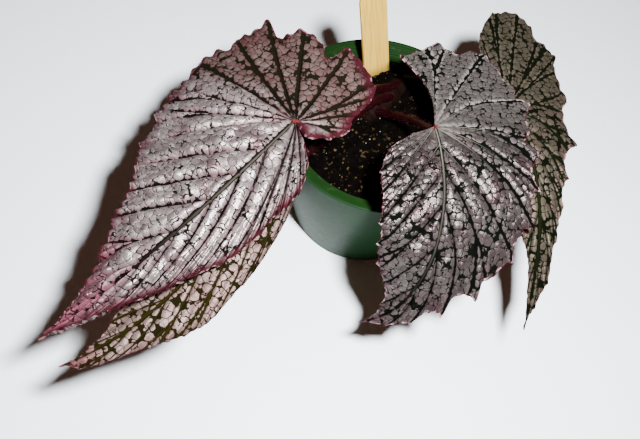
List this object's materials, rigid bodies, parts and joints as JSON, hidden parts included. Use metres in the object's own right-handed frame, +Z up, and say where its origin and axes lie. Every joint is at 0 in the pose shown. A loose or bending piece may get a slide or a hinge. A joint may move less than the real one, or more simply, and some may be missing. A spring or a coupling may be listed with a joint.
{
  "type": "potted rex begonia",
  "caption": "Rex begonia with large lopsided toothed leaves on red stalks, in a tapered round plastic pot with a bare wooden plant label.",
  "frame": {"origin": "centre of the pot's underside, on the surface that it stands on", "axes": "+Z up, -Y to the front where the two long leaf tips point, +X to the right"},
  "size_m": [0.2216, 0.2555, 0.1254],
  "materials": {
    "pot_plastic": "satin moulded plastic",
    "potting_soil": "matt, crumbly, with pale flecks",
    "rhizome_skin": "rough and scarred",
    "stalk_red": "soft sheen with short hairs",
    "silver_leaf": "metallic silver-pink patches on dark green, satin",
    "olive_leaf": "silver-pink patches on olive green, satin",
    "bare_wood": "smooth bare wood"
  },
  "bodies": {
    "root": {"pot": "pot_plastic", "soil": "potting_soil", "rhizome": "rhizome_skin", "stalk_a": "stalk_red", "stalk_b": "stalk_red", "stalk_c": "stalk_red", "stalk_d": "stalk_red", "leaf_a": "silver_leaf", "leaf_b": "olive_leaf", "leaf_c": "silver_leaf", "leaf_d": "olive_leaf", "wooden_label": "bare_wood"}
  },
  "joints": []
}
